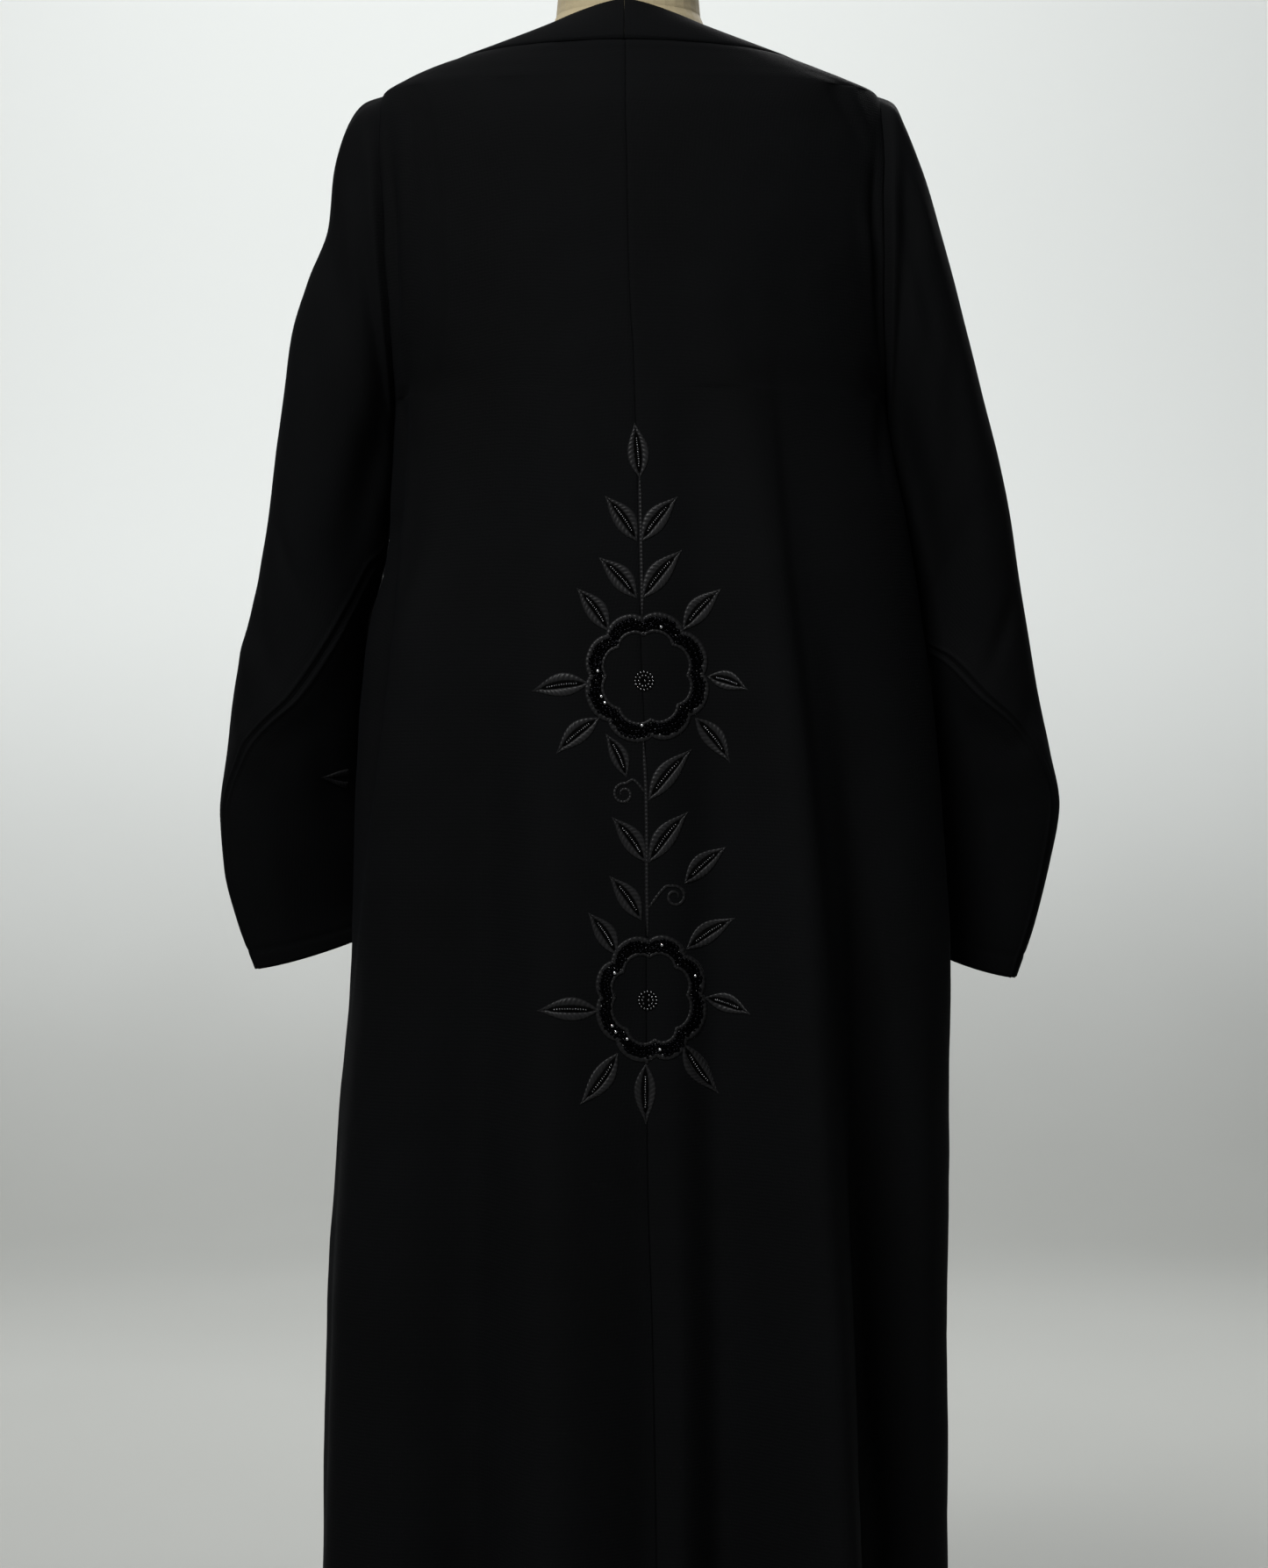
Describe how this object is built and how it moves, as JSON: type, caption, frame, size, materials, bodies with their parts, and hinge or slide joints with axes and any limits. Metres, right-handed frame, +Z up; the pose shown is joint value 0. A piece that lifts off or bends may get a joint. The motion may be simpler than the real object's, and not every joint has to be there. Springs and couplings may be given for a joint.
{
  "type": "abaya cloak on a dress form",
  "caption": "Long black open-fronted abaya with a neck and front band, set-in long sleeves and a flared skirt, worn by a limbless dress form on a round stand.",
  "frame": {"origin": "centre of the stand base's underside, on the floor", "axes": "+Z up; the wearer's front faces -Y and the wearer's left is +X"},
  "size_m": [0.6732, 0.393, 1.502],
  "materials": {
    "black_crepe": "matt black crepe weave",
    "cream_form": "smooth cream display form",
    "stand_metal": "satin grey paint"
  },
  "bodies": {
    "root": {"back_left": "black_crepe", "back_right": "black_crepe", "front_left": "black_crepe", "front_right": "black_crepe", "band_left": "black_crepe", "band_right": "black_crepe", "sleeve_left": "black_crepe", "sleeve_right": "black_crepe", "dress_form": "cream_form", "stand_pole": "stand_metal", "stand_base": "stand_metal"}
  },
  "joints": []
}
